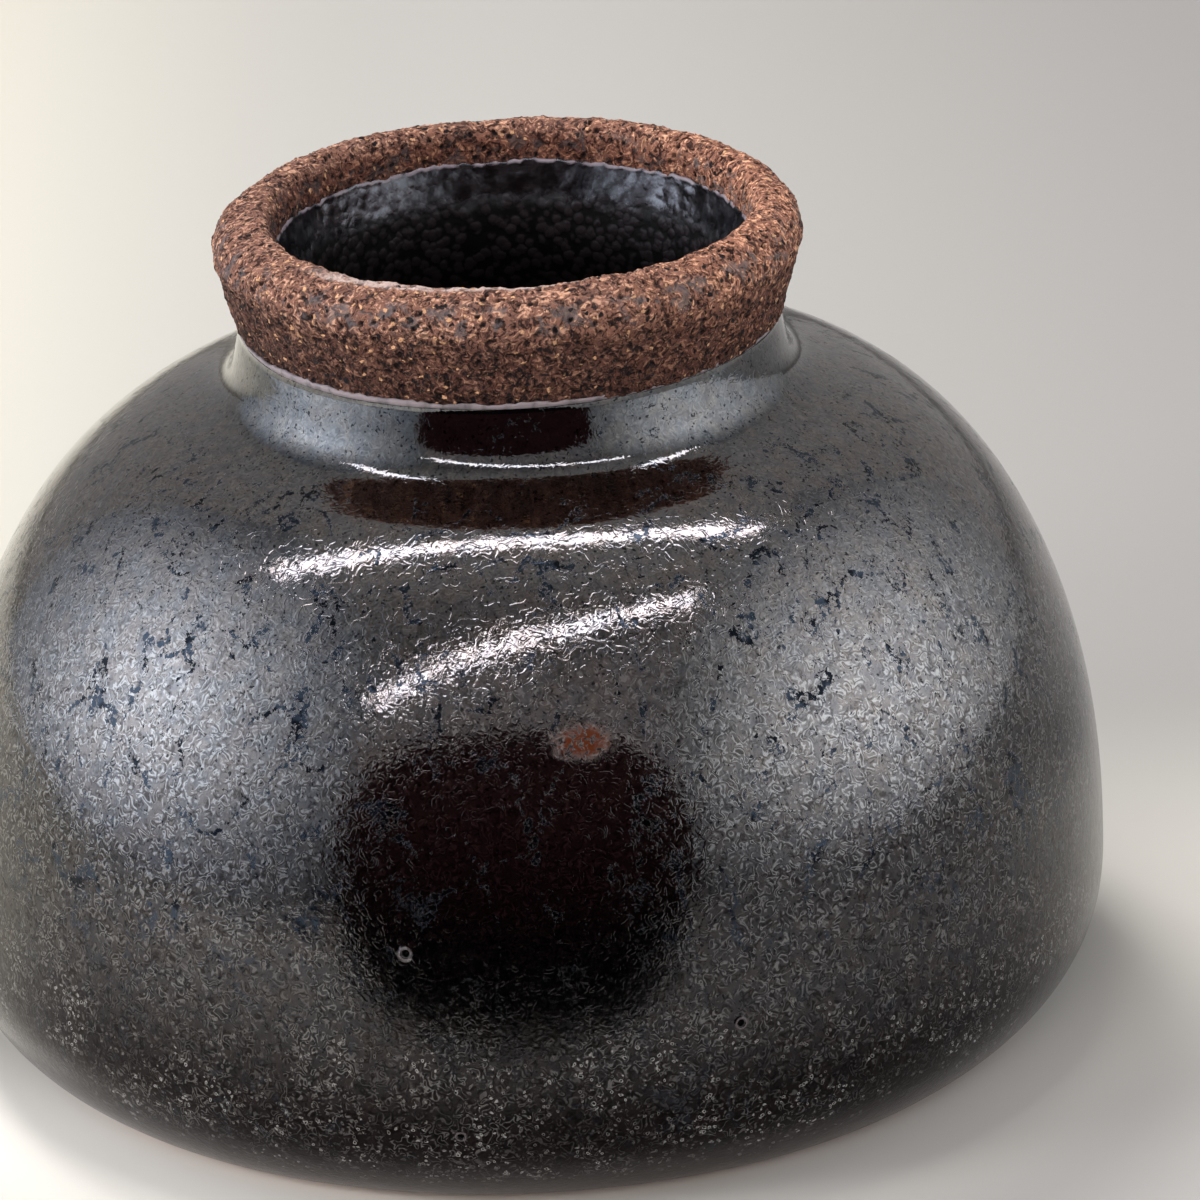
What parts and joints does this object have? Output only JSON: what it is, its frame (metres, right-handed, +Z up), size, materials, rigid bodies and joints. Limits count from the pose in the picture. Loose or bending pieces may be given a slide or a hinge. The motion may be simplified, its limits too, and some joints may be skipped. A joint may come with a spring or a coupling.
{
  "type": "stoneware jar",
  "caption": "Squat rounded hand-built stoneware jar, glossy iron-black glaze inside and out, with a short neck and a thick bare clay collar round an open mouth.",
  "frame": {"origin": "on the surface the jar stands on, under the middle of its body", "axes": "+Z up through the middle of the mouth; the jar leans slightly towards +X, and +Y is its far side as seen in the front view"},
  "size_m": [0.16, 0.16, 0.115],
  "materials": {
    "body_clay": "matte",
    "rim_clay": "matte",
    "iron_glaze": "gloss",
    "inner_glaze": "gloss"
  },
  "bodies": {
    "root": {"base_disc": "body_clay", "belly_wall": "body_clay", "shoulder_wall": "body_clay", "neck_ring": "body_clay", "rim_collar": "rim_clay", "outer_glaze": "iron_glaze", "inner_glaze": "inner_glaze"}
  },
  "joints": []
}
